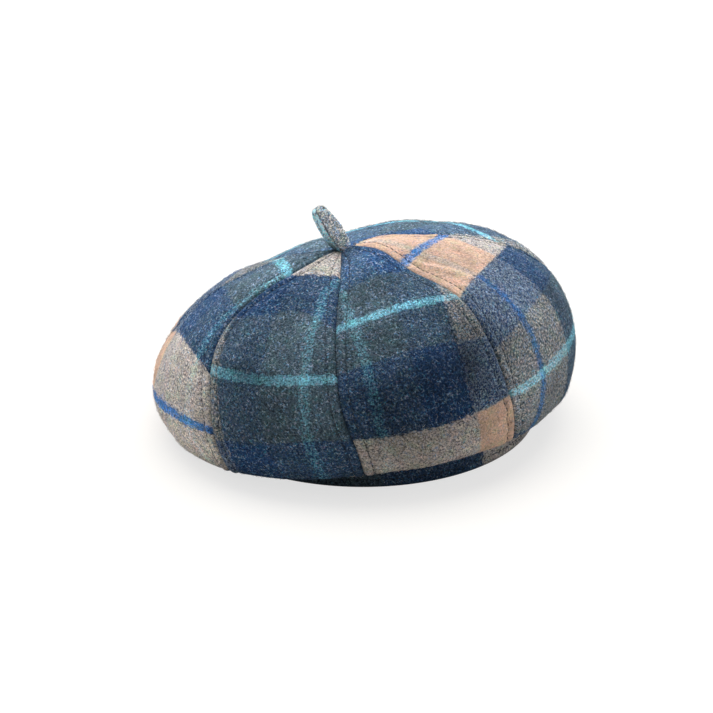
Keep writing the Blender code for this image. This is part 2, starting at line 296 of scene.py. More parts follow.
def crown_surface(azimuth, t):
    """Outer face of the smooth crown: dome, rolled lip, then the underside up to the band."""
    rim_radius = crown_radius(azimuth)
    rim = column("rim", azimuth) * CROWN_HEIGHT
    hang = column("hang", azimuth) * BAND_HEIGHT
    power = 2 / column("fullness", azimuth)
    swell = column("swell", azimuth) * CROWN_HEIGHT
    seat = BAND_HEIGHT + GAP
    clear = BAND_OUTER + CLOTH
    lip_radius = clear + (rim_radius - clear) * column("lip", azimuth)

    a = np.clip(t / DOME_END, 0, 1) * math.pi / 2
    share = np.sin(a) ** power
    dome_z = rim + (CROWN_HEIGHT - rim) * np.clip(np.cos(a), 0, 1) ** power
    dome_z = dome_z + 1.15 * swell * np.sin(math.pi * share**0.62) * (1 - share) ** 0.35

    b = np.clip((t - DOME_END) / (LIP_END - DOME_END), 0, 1) * math.pi / 2
    lip_r = lip_radius + (rim_radius - lip_radius) * np.cos(b)
    lip_z = rim - (rim - hang) * np.sin(b)

    u = np.clip((t - LIP_END) / (SEAT_START - LIP_END), 0, 1)
    seat_radius = BAND_OUTER + 3 * GAP
    inward = lip_radius - seat_radius
    first, second = lip_radius - inward * 0.90, seat_radius + inward * 0.55
    w = ((1 - u) ** 3, 3 * (1 - u) ** 2 * u, 3 * (1 - u) * u**2, u**3)
    under_r = w[0] * lip_radius + w[1] * first + w[2] * second + w[3] * seat_radius
    under_r = under_r - (seat_radius - BAND_INNER) * np.clip((t - SEAT_START) / (1 - SEAT_START), 0, 1)
    under_z = (w[0] + w[1]) * hang + (w[2] + w[3]) * seat

    r = np.where(t <= DOME_END, rim_radius * share, np.where(t <= LIP_END, lip_r, under_r))
    z = np.where(t <= DOME_END, dome_z, np.where(t <= LIP_END, lip_z, under_z))
    slump = CROWN_SLUMP * (1 - ease((t - SLUMP_START) / (SEAT_START - SLUMP_START)))
    turn = np.radians(azimuth)
    return np.stack([r * np.cos(turn) - slump, r * np.sin(turn), z], -1)


def crown_frame(azimuth, t):
    """Point and outward direction of the smooth crown."""
    point = crown_surface(azimuth, t)
    around = crown_surface(azimuth + 0.2, t) - crown_surface(azimuth - 0.2, t)
    before, after = np.maximum(t - 0.002, 0), np.minimum(t + 0.002, 1)
    down = crown_surface(azimuth, after) - crown_surface(azimuth, before)
    outward = np.cross(down, around)
    return point, outward / np.linalg.norm(outward, axis=-1, keepdims=True)


def fold_rise(azimuth, t, radius):
    """Height of all the soft folds together."""
    total = np.zeros_like(t)
    length_down = crown_radius(azimuth) * 1.35
    for fold in FOLDS.values():
        offset = np.mod(azimuth - fold["azimuth"] + 180, 360) - 180
        across = np.radians(offset) * radius / (fold["across"] * FOLD_SPAN)
        along = (t - fold["along"]) * length_down / (fold["length"] * FOLD_SPAN)
        total = total + fold["rise"] * FOLD_HEIGHT * np.exp(-across**2 - along**2)
    return total


print("crown reaches %.1f mm at the right" % (crown_radius(np.array(17.0)) / MM))

# %% [markdown]
# Each gore is cut from flat cloth, so its plaid stays straight on the gore and breaks at the seams.
# That is why every gore stores its own cloth positions: how far across the warp and how far along
# the weft each point lies on the uncut cloth. The material reads them, so the stripes bend with
# the cloth instead of being projected through it. The grid is denser at the seams, where the
# narrow details are: the groove, the welt between the rows of stitching, and the puckers.
# %% Where each gore was cut from the cloth
# shear_x, shear_y: how far the grain runs off the gore's middle.  stretch: of the weft direction.
# shift_x, shift_y: millimetres on the cloth.
GORE_COLUMNS = ("shear_x", "shear_y", "stretch", "shift_x", "shift_y")
GORES = {
    "crown_panel_1": (0, 0, 1, 53, 19),
    "crown_panel_2": (0, 0, 1, 116, 30),
    "crown_panel_3": (0, 0, 1, 106, 38),
    "crown_panel_4": (0, 0, 1, 6, 73),
    "crown_panel_5": (-0.25, 0.10, 1.03, 79.5, 72),
    "crown_panel_6": (0, 0, 1, 64, 1),
    "crown_panel_7": (0.06, 0.03, 1, 104.5, 35),
    "crown_panel_8": (0.25, -0.06, 1.08, -1.5, -50.2),
}
# Where handling has pulled a gore's cloth along: x, y on the gore, reach across, reach down, then
# how far the weft and the warp have moved there.  All in millimetres.
PULLS = {
    "crown_panel_5": ((6, 12, 30, 20, 0, -12),),
    "crown_panel_6": ((13, 31, 17, 20, 7, 0), (12, 42, 30, 17, 0, 7.5),
                      (20, 97, 30, 14, 0, -2.5), (17, 150, 30, 28, 0, 3.5),
                      (8, 64, 24, 12, 9, 0)),
    "crown_panel_7": ((0, 38, 60, 19, -8, 0), (0, 100, 70, 22, 8, 0),
                      (0, 48, 200, 26, 0, -2)),
    "crown_panel_8": ((0, 48, 200, 26, 0, -2), (-40, 180, 45, 22, -14, 0),
                      (-20, 94, 30, 18, 0, -2.2)),
}
# Soft spots of painted shade (above 0) and painted light (below 0), standing in for how the light
# falls on the cap: x, y on the gore, reach across, reach down, strength.
PAINTED_SHADING_SPOTS = {
    "crown_panel_5": ((5, 44, 22, 16, -1.7), (0, 82, 34, 18, -0.6), (28, 150, 34, 18, -1.8),
                      (9, 18, 14, 9, -0.8)),
    "crown_panel_6": ((-7, 115, 24, 15, 1), (12, 72, 13, 9, -1.1),
                      (28, 125, 13, 22, -0.7), (-12, 152, 26, 10, -0.8),
                      (-10, 104.5, 17, 5, 1.6), (-2, 57, 16, 12, 0.7)),
    "crown_panel_7": ((-4, 33, 22, 12, -2.4), (4, 117, 28, 21, 1.8),
                      (-16, 148, 34, 12, 1.1), (31, 106, 12, 26, 1.8),
                      (-14, 86, 14, 10, 0.6), (-7, 52, 20, 9, 0.9), (2, 68, 30, 5, -0.7),
                      (-27, 124, 10, 20, 1.4)),
    "crown_panel_8": ((-56, 155, 26, 20, -1.4), (-20, 64, 2.8, 18, -1.1),
                      (15, 119, 14, 18, 1.3),
                      (-12, 64, 30, 24, 0.9), (-47, 110, 15, 15, 1),
                      (-29, 162, 13, 12, 0.8)),
    "crown_panel_1": ((0, 60, 45, 45, -1.9),),
    "crown_panel_2": ((0, 45, 45, 40, -1.9),),
    "crown_panel_3": ((0, 40, 45, 40, -1.8),),
}
# Creases: x, y where each starts and ends on the gore, then its rise and its width.
CREASES = {
    "crown_panel_6": ((-8, 62, 16, 96, -1.5, 8), (20, 60, 27, 110, 0.9, 6)),
    "crown_panel_7": ((26, 76, 29, 122, 0.7, 3), (22, 80, 24, 118, -0.7, 2.6),
                      (30.5, 84, 34, 126, -0.7, 1.8), (6, 84, -10, 98, -0.7, 7)),
    "crown_panel_8": ((-18, 48, -23, 80, 1.1, 1.9), (-22.5, 52, -29, 78, -0.3, 2.6),
                      (-41, 82, -31, 86, 0.7, 2.2), (-42, 92, -30, 92, -0.6, 2.4)),
}
# sink: share of SEAM_SINK.  pucker: millimetres of ripple beside each seam.  spread: millimetres it
# reaches.  ripple: its length.  soft: how much shallower the seam is on top of the crown.
PUCKERS = {
    "right":       dict(sink=0.8, pucker=0.30, spread=6.0, ripple=8.0, soft=0.0),
    "back_right":  dict(sink=1.0, pucker=0.30, spread=6.0, ripple=8.5, soft=0.0),
    "back":        dict(sink=1.0, pucker=0.30, spread=6.0, ripple=7.5, soft=0.0),
    "back_left":   dict(sink=1.0, pucker=0.30, spread=6.0, ripple=8.0, soft=0.0),
    "left":        dict(sink=0.8, pucker=0.25, spread=5.0, ripple=7.0, soft=0.0),
    "front_left":  dict(sink=0.6, pucker=0.32, spread=5.5, ripple=7.5, soft=0.0),
    "front":       dict(sink=0.2, pucker=0.20, spread=5.5, ripple=8.0, soft=0.0),
    "front_right": dict(sink=0.1, pucker=0.60, spread=8.0, ripple=9.0, soft=0.6),
}
EDGE_ZONE = 9.0 * MM        # the grid is denser this far from a seam, at these shares of it
EDGE_STEPS = (0.0, 0.04, 0.10, 0.17, 0.25, 0.33, 0.41, 0.49, 0.57, 0.65, 0.74, 0.86, 1.0)
MIDDLE_STEPS = 14
ROWS = 176
STITCH_ROW = 5.2 * MM       # from a seam to its topstitching


# %% Sewing details beside a seam
def firmness(length, seam):
    """Share of a seam's depth that shows: less on top of the crown where the seam is a soft one."""
    return 1 - PUCKERS[SEAM_NAMES[seam % 8]]["soft"] * (1 - ease((length / MM - 80) / 35))


def seam_relief(distance, length, row, seam, side):
    """Rise of the cloth beside a seam: groove, welt, stitched line and puckers."""
    d, l, rows = distance / MM, length / MM, row / MM
    ripple = PUCKERS[SEAM_NAMES[seam % 8]]
    groove = -0.95 * np.exp(-(d / 0.7) ** 2)
    welt = 0.40 * np.exp(-(((d - 0.55 * rows) / (0.30 * rows)) ** 2))
    stitched = -0.55 * np.exp(-(((d - rows) / 0.85) ** 2))
    phase = 1.7 * seam + 2.1 * side
    wander = 1.6 * np.sin(l / 13.7 + phase) + 0.9 * np.sin(l / 5.9 + 2.3 * phase)
    wave = np.sin(2 * math.pi * (l + 0.35 * side * d) / ripple["ripple"] + wander)
    strength = 0.55 + 0.45 * np.sin(l / 17.0 + 3.1 * phase)
    reach = np.exp(-(((d - 0.9 * rows) / ripple["spread"]) ** 2)) * (1 - np.exp(-(d / 1.6) ** 2))
    puckers = ripple["pucker"] * wave * strength * reach
    return (groove + welt + stitched + puckers) * firmness(length, seam) * MM


def spot(x, y, place):
    """Soft spot on a gore: 1 in its middle, 0 beyond its reach."""
    return np.exp(-(((x - place[0]) / place[2]) ** 2) - ((y - place[1]) / place[3]) ** 2)


def crease_rise(name, x, y):
    """Rise of the narrow creases of one gore."""
    total = np.zeros_like(x)
    for x0, y0, x1, y1, rise, width in CREASES.get(name, ()):
        run_x, run_y = x1 - x0, y1 - y0
        along = ((x - x0) * run_x + (y - y0) * run_y) / (run_x**2 + run_y**2)
        along = np.clip(along, 0, 1)
        away = np.hypot(x - x0 - along * run_x, y - y0 - along * run_y)
        total = total + rise * np.exp(-(away / width) ** 2) * (0.55 + 0.45 * np.sin(math.pi * along))
    return total * MM


def handled_unevenness(point):
    """Very soft hollows and swells that wool keeps from being worn and handled."""
    x, y, z = point[..., 0] / MM, point[..., 1] / MM, point[..., 2] / MM
    slow = np.sin(x / 9.3 + 1.3 * np.sin(y / 21.0)) * np.sin(y / 11.1 + z / 14.0 + 0.7)
    fine = np.sin(x / 5.1 - z / 6.3 + 2.0) * np.sin(y / 4.7 + 0.4 * np.sin(x / 8.0))
    return (0.34 * slow + 0.13 * fine) * MM


# %% Grid of one gore
def smooth_gore(k, u, s):
    """Smooth crown points of gore k: u runs -1 to 1 between its seams, s from apex to band."""
    middle = (seam_azimuth(k, s) + seam_azimuth(k + 1, s)) / 2
    t = first_share(middle) * (1 - s) + s
    near, far = seam_azimuth(k, t), seam_azimuth(k + 1, t)
    azimuth = near + (far - near) * (u + 1) / 2
    start = first_share(azimuth)
    t = start + (1 - start) * s
    point, outward = crown_frame(azimuth, t)
    radius = np.hypot(point[..., 0], point[..., 1])
    half = np.radians(far - near) / 2 * np.maximum(crown_radius(azimuth) * np.sin(t * 2), APEX_HOLE)
    fade = ease(s / 0.12) * ease((1 - s) / 0.10)
    depth = SEAM_SINK * (1 - 0.7 * ease((t - SEAM_FADE) / 0.12))
    sinks = [PUCKERS[SEAM_NAMES[seam % 8]]["sink"] for seam in (k, k + 1)]
    depth = depth * np.where(u < 0, sinks[0], sinks[1])
    lift = fold_rise(azimuth, t, radius) * fade
    lift = lift - depth * fade * np.exp(-(((1 - np.abs(u)) * half / SEAM_REACH) ** 2))
    return point + outward * lift[..., None], outward, t


def lengths_along(points, axis):
    """Running length along one direction of a grid."""
    steps = np.linalg.norm(np.diff(points, axis=axis), axis=-1)
    start = np.zeros_like(np.take(steps, [0], axis=axis))
    return np.concatenate([start, np.cumsum(steps, axis=axis)], axis=axis)


def gore_grid(k):
    """Outer points, outward directions, cloth positions and seam distances of gore k."""
    s = np.linspace(0, 1, ROWS) ** 1.06
    coarse_u, coarse_s = np.meshgrid(np.linspace(-1, 1, 21), s)
    coarse = smooth_gore(k, coarse_u, coarse_s)[0]
    half = lengths_along(coarse, 1)[:, -1] / 2
    zone = np.minimum(EDGE_ZONE, 0.55 * half)
    edge = [np.array(EDGE_STEPS)[None, :] * zone[:, None]]
    middle = np.linspace(0, 1, MIDDLE_STEPS + 1)[None, 1:] * (half - zone)[:, None] + zone[:, None]
    inward = np.concatenate(edge + [middle], axis=1) / half[:, None] - 1
    u = np.concatenate([inward, -inward[:, -2::-1]], axis=1)
    s_grid = np.repeat(s[:, None], u.shape[1], axis=1)
    point, outward, t = smooth_gore(k, u, s_grid)

    across = lengths_along(point, 1)
    total = across[:, -1:]
    centre = u.shape[1] // 2
    x = across - across[:, centre:centre + 1]
    down = lengths_along(point, 0)[:, centre] + APEX_HOLE
    slope = np.gradient(half, down)
    slope = np.convolve(np.pad(slope, 4, mode="edge"), np.ones(9) / 9, mode="valid")
    y = down[:, None] - x**2 * (slope / (half + 1e-9))[:, None] / 2

    row_way = np.gradient(point, axis=1)
    down_way = np.gradient(point, axis=0)
    row_way /= np.linalg.norm(row_way, axis=-1, keepdims=True)
    down_way /= np.linalg.norm(down_way, axis=-1, keepdims=True)
    square = np.clip(np.linalg.norm(np.cross(row_way, down_way), axis=-1), 0.35, 1)
    before, after = across * square, (total - across) * square
    return dict(point=point, outward=outward, t=t, s=s_grid, u=u, half=half, x=x, y=y,
                before=before, after=after, length=lengths_along(point, 0), down_way=down_way)


def sewn_gore(k):
    """Grid of gore k with the sewing details and the space to its neighbours."""
    g = gore_grid(k)
    start = ease(g["s"] / 0.06) * ease((1 - g["s"]) / 0.06)
    row = np.minimum(STITCH_ROW, 0.46 * g["half"])[:, None]
    lift = seam_relief(g["before"], g["length"], row, k, 1)
    lift = lift + seam_relief(g["after"], g["length"], row, k + 1, -1)
    inner_part = np.clip(np.minimum(g["before"], g["after"]) / (4 * MM), 0, 1)
    lift = lift + handled_unevenness(g["point"]) * (0.35 + 0.65 * inner_part)
    lift = lift + crease_rise("crown_panel_%d" % (k + 1), g["x"] / MM, g["y"] / MM) * ease(inner_part * 2)
    size = np.clip(g["half"] / (9 * MM), 0.12, 1)[:, None]
    point = g["point"] + g["outward"] * (lift * start * size)[..., None]
    side = np.cross(g["outward"], g["down_way"])
    side /= np.linalg.norm(side, axis=-1, keepdims=True)
    point = point - side * (g["u"] * (0.07 * MM))[..., None]
    upright = 1 - ease(g["s"] / 0.10)[..., None]
    outward = g["outward"] * (1 - upright) + np.array([0.0, 0.0, 1.0]) * upright
    g["outward"] = outward / np.linalg.norm(outward, axis=-1, keepdims=True)
    g["sewn"] = point
    g["row"] = row
    return g


gores = [sewn_gore(k) for k in range(8)]
print("gore grids:", gores[0]["sewn"].shape[:2], "rows and columns")


# %% Build the eight gores
def cloth_place(name, x, y):
    """Warp and weft position in millimetres on the uncut cloth."""
    cut = dict(zip(GORE_COLUMNS, GORES[name]))
    x, y = x / MM, y / MM
    warp = x + cut["shear_x"] * y + cut["shift_x"]
    weft = cut["stretch"] * (y + cut["shear_y"] * x) + cut["shift_y"]
    for pull in PULLS.get(name, ()):
        weft = weft + pull[4] * spot(x, y, pull)
        warp = warp + pull[5] * spot(x, y, pull)
    return warp, weft


def shell_faces(rows, steps):
    """Quads of a closed sheet whose outer grid comes first, then its inner grid."""
    index = np.arange(rows * steps).reshape(rows, steps)
    under = index + rows * steps
    a, b, c, d = index[:-1, :-1], index[1:, :-1], index[1:, 1:], index[:-1, 1:]
    faces = [np.stack([a, b, c, d], -1).reshape(-1, 4)]
    a, b, c, d = under[:-1, :-1], under[:-1, 1:], under[1:, 1:], under[1:, :-1]
    faces.append(np.stack([a, b, c, d], -1).reshape(-1, 4))
    faces.append(np.stack([index[0, :-1], index[0, 1:], under[0, 1:], under[0, :-1]], -1))
    faces.append(np.stack([index[-1, :-1], under[-1, :-1], under[-1, 1:], index[-1, 1:]], -1))
    faces.append(np.stack([index[:-1, 0], under[:-1, 0], under[1:, 0], index[1:, 0]], -1))
    faces.append(np.stack([index[:-1, -1], index[1:, -1], under[1:, -1], under[:-1, -1]], -1))
    return np.concatenate(faces)


def store_vectors(thing, name, values):
    """Keep one vector for each point, for the material to read."""
    layer = thing.data.attributes.new(name, "FLOAT_VECTOR", "POINT")
    layer.data.foreach_set("vector", np.asarray(values, dtype=np.float32).ravel())


crown = []
for k, g in enumerate(gores):
    node = "crown_panel_%d" % (k + 1)
    outer = g["sewn"] + AXIS
    inner = g["point"] + AXIS - g["outward"] * CLOTH
    rows, steps = outer.shape[:2]
    vertices = np.concatenate([outer.reshape(-1, 3), inner.reshape(-1, 3)])
    gore = add_mesh("wool_gore_%d" % (k + 1), vertices, shell_faces(rows, steps))
    warp, weft = cloth_place(node, g["x"], g["y"])
    beside = np.minimum(g["before"], g["after"])
    # Painted shade: darker in the groove of each seam and along each stitched line. The spots below add
    # more painted shade and painted light.
    painted_shading = 0.9 * np.exp(-beside / (1.2 * MM)) + 0.6 * np.exp(-(((beside - g["row"]) / (0.6 * MM)) ** 2))
    painted_shading = painted_shading * np.where(g["u"] < 0, firmness(g["length"], k), firmness(g["length"], k + 1))
    for patch in PAINTED_SHADING_SPOTS.get(node, ()):
        painted_shading = painted_shading + patch[4] * spot(g["x"] / MM, g["y"] / MM, patch)
    place = np.stack([warp, weft, painted_shading], -1).reshape(-1, 3)
    store_vectors(gore, "cloth", np.concatenate([place, place]))
    grain_place = np.stack([g["x"] / MM + 97.0 * k, g["y"] / MM, 0 * warp], -1).reshape(-1, 3)
    store_vectors(gore, "grain", np.concatenate([grain_place, grain_place]))
    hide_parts(node)
    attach(gore, "root")
    crown.append(gore)
print("crown faces:", sum(len(gore.data.polygons) for gore in crown))

# %% [markdown]
# The headband is a strip of the same wool, folded double, so its lower edge is a soft round fold
# and its inside shows the turned-in edge of the cloth. A row of stitching runs close above the
# fold. It is one closed ring, turned from a section, with the small waves of hand-held cloth.
# %% Headband
BAND_SIDES = 288
BAND_STITCH = 4.6 * MM
BAND_JOIN = 96.0            # azimuth of the seam that closes the band, at the back
BAND_EDGE = 0.9 * MM        # how round its two upper edges are
MM_PER_DEGREE = 1.66        # around the outside of the band


def band_section():
    """Closed section of the folded band as (radius, height, share up the cloth) rows."""
    wall, top = BAND_OUTER - BAND_INNER, BAND_HEIGHT
    roll = wall / 2
    rows = []
    for h in np.linspace(roll, top - BAND_EDGE, 18):
        rows.append((BAND_OUTER, h))
    for face, inward, turns in ((BAND_OUTER, -1, (25, 60, 90)), (BAND_INNER, 1, (90, 60, 25))):
        for turn in np.radians(turns):
            aside, below = BAND_EDGE * (1 - math.cos(turn)), BAND_EDGE * (1 - math.sin(turn))
            rows.append((face + inward * aside, top - below))
    for h in np.linspace(top - BAND_EDGE, roll, 18):
        rows.append((BAND_INNER, h))
    for a in np.linspace(20, 160, 8):
        turn = math.radians(a)
        flat = max(0.0, math.sin(turn)) ** 0.8
        rows.append((BAND_INNER + roll - roll * math.cos(turn), roll - roll * flat))
    return np.array(rows)


section = band_section()
round_way = BAND_JOIN + 0.03 + np.linspace(0, 359.94, BAND_SIDES + 1)
radius = np.repeat(section[None, :, 0], BAND_SIDES + 1, axis=0)
height = np.repeat(section[None, :, 1], BAND_SIDES + 1, axis=0)
degrees = np.repeat(round_way[:, None], len(section), axis=1)
angle = np.radians(degrees)
outer_side = np.clip((radius - BAND_INNER) / (BAND_OUTER - BAND_INNER) * 2 - 1, -1, 1)
near_stitch = height - BAND_STITCH
rise = -0.30 * np.exp(-((near_stitch / (0.9 * MM)) ** 2))
ripple = 0.5 + 0.5 * np.sin(angle * 11 + 1.7 * np.sin(angle * 4))
pull = np.sin(angle * 71 + 2.0 * np.sin(angle * 9)) * np.exp(-((near_stitch / (3 * MM)) ** 2))
rise = rise + 0.10 * pull * ripple
rise = rise - 0.16 * (0.5 + 0.5 * np.sin(angle * 7 + 0.6 * np.sin(angle * 3)))
from_join = np.minimum(degrees - BAND_JOIN, BAND_JOIN + 360 - degrees)
join = np.exp(-((from_join / 0.55) ** 2))
rise = rise - 0.55 * join
edge = ease((BAND_HEIGHT - height) / (3 * MM)) * ease(height / (1.2 * MM))
radius = radius + outer_side * rise * edge * MM
strip = np.stack([radius * np.cos(angle) + AXIS[0], radius * np.sin(angle) + AXIS[1], height], -1)
index = np.arange(strip.shape[0] * strip.shape[1]).reshape(strip.shape[:2])
a, b = index[:-1], np.roll(index[:-1], -1, axis=1)
c, d = np.roll(index[1:], -1, axis=1), index[1:]
faces = np.stack([a, d, c, b], -1).reshape(-1, 4).tolist()
faces.append(index[0].tolist())
faces.append(index[-1][::-1].tolist())
band = add_mesh("folded_headband", strip.reshape(-1, 3), faces)
warp = np.full_like(height, 70.0) + height / MM * 0.12
weft = (degrees - 350) * 1.663 / 1.68
# Painted shade: the whole band is made darker, like the shade under the crown, and darker still in the
# groove of its join.
store_vectors(band, "cloth", np.stack([warp, weft, 0.9 * join + 0.4], -1).reshape(-1, 3))
up_cloth = np.concatenate([[0], np.cumsum(np.linalg.norm(np.diff(section, axis=0), axis=1))]) / MM
up_cloth = np.repeat(up_cloth[None, :], BAND_SIDES + 1, axis=0)
band_grain = np.stack([up_cloth, degrees * MM_PER_DEGREE, 0 * up_cloth + 40], -1)
store_vectors(band, "grain", band_grain)
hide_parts("headband")
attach(band, "root")
print("headband faces:", len(band.data.polygons))

# %% [markdown]
# The stem is a narrow tab of wool, folded in four and sewn shut, then caught in the middle of the
# crown. It is a loft: rounded sections along a leaning line, a little thinner at the tip.
# %% Stem
STEM_LENGTH = 29.2 * MM
STEM_WIDTH = 9.4 * MM
STEM_THICKNESS = 5.7 * MM
STEM_LEAN = math.radians(32.0)
STEM_TURN = math.radians(43.0)
STEM_ROWS = (
    # along, width, thickness, corner: shares of the named sizes, then how round the corners are
    (-0.06, 0.66, 0.90, 0.70),
    (0.00, 0.74, 0.96, 0.50),
    (0.08, 0.88, 1.04, 0.34),
    (0.18, 1.02, 1.10, 0.26),
    (0.32, 1.14, 1.14, 0.22),
    (0.48, 1.16, 1.14, 0.20),
    (0.64, 1.10, 1.10, 0.20),
    (0.78, 0.96, 1.04, 0.22),
    (0.89, 0.84, 0.96, 0.24),
    (0.955, 0.72, 0.84, 0.32),
    (0.985, 0.54, 0.66, 0.45),
    (1.00, 0.26, 0.34, 0.80),
)
STEM_SIDES = 96
STEM_STEPS = 84
foot = np.array([-CROWN_SLUMP + 2.2 * MM, 1.0 * MM, CROWN_HEIGHT]) + AXIS
lean_axis = np.array([-math.sin(STEM_LEAN), 0.0, math.cos(STEM_LEAN)])
wide = np.array([math.cos(STEM_LEAN) * math.cos(STEM_TURN), math.sin(STEM_TURN),
                 math.sin(STEM_LEAN) * math.cos(STEM_TURN)])
thick = np.cross(lean_axis, wide)
table = np.array(STEM_ROWS)
along = np.interp(np.linspace(0, 1, STEM_STEPS), np.linspace(0, 1, len(table)), table[:, 0])
width = np.interp(along, table[:, 0], table[:, 1])[:, None] * STEM_WIDTH / 2
depth = np.interp(along, table[:, 0], table[:, 2])[:, None] * STEM_THICKNESS / 2
corner = np.interp(along, table[:, 0], table[:, 3])[:, None]
around = np.linspace(0, 2 * math.pi, STEM_SIDES, endpoint=False)[None, :]
cosine, sine = np.cos(around), np.sin(around)
across = np.sign(cosine) * np.abs(cosine) ** corner
through = np.sign(sine) * np.abs(sine) ** corner
along = np.repeat(along[:, None], STEM_SIDES, axis=1)
edge_line = np.exp(-((across + 0.90) ** 2 + (through + 0.90) ** 2) / 0.06)
lump = 0.12 * MM * np.sin(along * 19 + 2 * sine) * np.sin(2 * around + along * 6) * ease((1 - along) / 0.2)
x = width * across * (1 - 0.07 * edge_line) + lump * cosine
y = depth * through * (1 - 0.07 * edge_line) + lump * sine
points = foot + lean_axis * (along * STEM_LENGTH)[..., None] + wide * x[..., None] + thick * y[..., None]
index = np.arange(STEM_STEPS * STEM_SIDES).reshape(STEM_STEPS, STEM_SIDES)
here, there = index[:-1], index[1:]
faces = np.stack([here, np.roll(here, -1, axis=1), np.roll(there, -1, axis=1), there], -1)
faces = faces.reshape(-1, 4).tolist()
faces.append(index[0][::-1].tolist())
faces.append(index[-1].tolist())
stem = add_mesh("folded_stem", points.reshape(-1, 3), faces)
left_face = ease((-across - 0.84) / 0.06) * ease((0.95 - np.abs(through)) / 0.05)
warp = np.full_like(along, 18.0)
weft = 90.0 + 14.5 * left_face
front = ease((-through - 0.3) / 0.5)
tip = 1 - 0.5 * ease((along - 0.88) / 0.1)
# The third number is painted light and shade: painted light over the whole stem, most on the front face
# that the lamps leave dark and on the upper left face; painted shade along the folded edge, on the lower
# left face and at the foot.
tone = 4.6 * edge_line - 1.0 - 5.6 * front * tip + left_face * (4.6 * ease((0.60 - along) / 0.45) - 3.0)
tone = tone + 0.3 * ease((0.05 - along) / 0.08)
store_vectors(stem, "cloth", np.stack([warp, weft, tone], -1).reshape(-1, 3))
store_vectors(stem, "grain", np.stack([x, along * STEM_LENGTH, y], -1).reshape(-1, 3) * 1.35 / MM)
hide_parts("stem")
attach(stem, "root")
print("stem faces:", len(stem.data.polygons))

# %% [markdown]
# The wool is woven from yarns of five colours, the same stripes in warp and weft. Where two yarns
# of one colour cross, the colour is full; where they differ, the eye sees a speckled mix. The
# material does the same: it looks up the warp's colour and the weft's colour, then picks one of
# them for each tiny patch. Brushing is added over that: a web of light fibres in clumps, with tints
# of its own, a web of dark gaps, and a slow drift of colour. The third number kept with each cloth
# position is painted shade and painted light: it darkens the wool along the seams and the stitched
# lines, and darkens or lightens soft spots to stand in for how the light falls on the cap.
# %% Yarn colours and stripes
YARNS = {
    "oat":       (0.615, 0.522, 0.454),
    "petrol":    (0.014, 0.047, 0.124),
    "slate":     (0.058, 0.088, 0.108),
    "cornflower": (0.060, 0.200, 0.520),
    "turquoise": (0.190, 0.500, 0.600),
}
OAT_ON_OAT = (1.05, 0.81, 0.68)
OAT_UNDER_PETROL = (0.54, 0.74, 0.92)
# Each stripe starts at this many millimetres from the middle of the repeat and runs to the next.
# The last number is how strongly that yarn shows on the face of the cloth.
WARP_HALF = 84.0
WEFT_HALF = 107.0
WARP_STRIPES = ((0.0, "cornflower", 0.40), (2.5, "oat", 0.22), (33.0, "petrol", 0.30),
                (60.0, "slate", 0.30), (81.5, "turquoise", 0.15))
WEFT_STRIPES = ((0.0, "cornflower", 1.40), (2.7, "oat", 1.00), (38.0, "petrol", 0.60),
                (73.0, "slate", 0.60), (104.2, "turquoise", 0.70))
STRIPE_BLUR = 0.7
# Tints along a noise: place from 0 to 1, then the colour there.
FIBRE_TINTS = ((0.32, (0.10, 0.40, 0.46)), (0.42, (0.14, 0.28, 0.62)), (0.50, (0.38, 0.48, 0.58)),
               (0.58, (0.42, 0.47, 0.48)), (0.68, (0.30, 0.24, 0.42)))
CLUMP_TINTS = ((0.34, (0.24, 0.24, 0.24)), (0.66, (0.90, 0.90, 0.90)))
DRIFT_TINTS = ((0.36, (0.72, 1.00, 0.90)), (0.45, (0.92, 0.98, 0.95)), (0.54, (0.80, 0.90, 1.00)),
               (0.64, (0.98, 0.90, 0.95)))
THREAD_TINTS = ((0.35, (0.018, 0.026, 0.040)), (0.65, (0.055, 0.068, 0.095)))
DARK_GAP = (0.20, 0.22, 0.27)
EVEN = (1.0, 1.0)           # specks that aren't stretched either way


# %% Stripes, specks and fibres
def ramp(tree, factor, stops):
    """Colour ramp through (place, colour) stops. Three numbers make a solid colour."""
    made = add_node(tree, "ShaderNodeValToRGB")
    while len(made.color_ramp.elements) < len(stops):
        made.color_ramp.elements.new(0.5)
    for element, (place, colour) in zip(made.color_ramp.elements, stops):
        element.position = place
        element.color = (*colour, 1.0)[:4]
    tree.links.new(factor, made.inputs["Fac"])
    return made.outputs


def stripes(tree, position, half, table, only=None):
    """Colour, and show in alpha, of one yarn system; or, with only, 1 where that yarn lies."""
    share = maths(tree, "DIVIDE", maths(tree, "PINGPONG", position, half), half)
    stops = []
    for i, (start, yarn, show) in enumerate(table):
        colour = (*YARNS[yarn], show)
        if only:
            colour = (float(yarn == only),) * 4
        if i:
            stops.append(((start - STRIPE_BLUR) / half, stops[-1][1]))
            stops.append(((start + STRIPE_BLUR) / half, colour))
        else:
            stops.append((0.0, colour))
    return ramp(tree, share, stops)


def mixed(tree, kind, factor, first, second):
    """Colour mix of two sockets or typed colours."""
    mix = add_node(tree, "ShaderNodeMix", data_type="RGBA", blend_type=kind)
    for slot, value in ((mix.inputs[0], factor), (mix.inputs[6], first), (mix.inputs[7], second)):
        if isinstance(value, (int, float, tuple)):
            slot.default_value = value
        else:
            tree.links.new(value, slot)
    return mix.outputs[2]


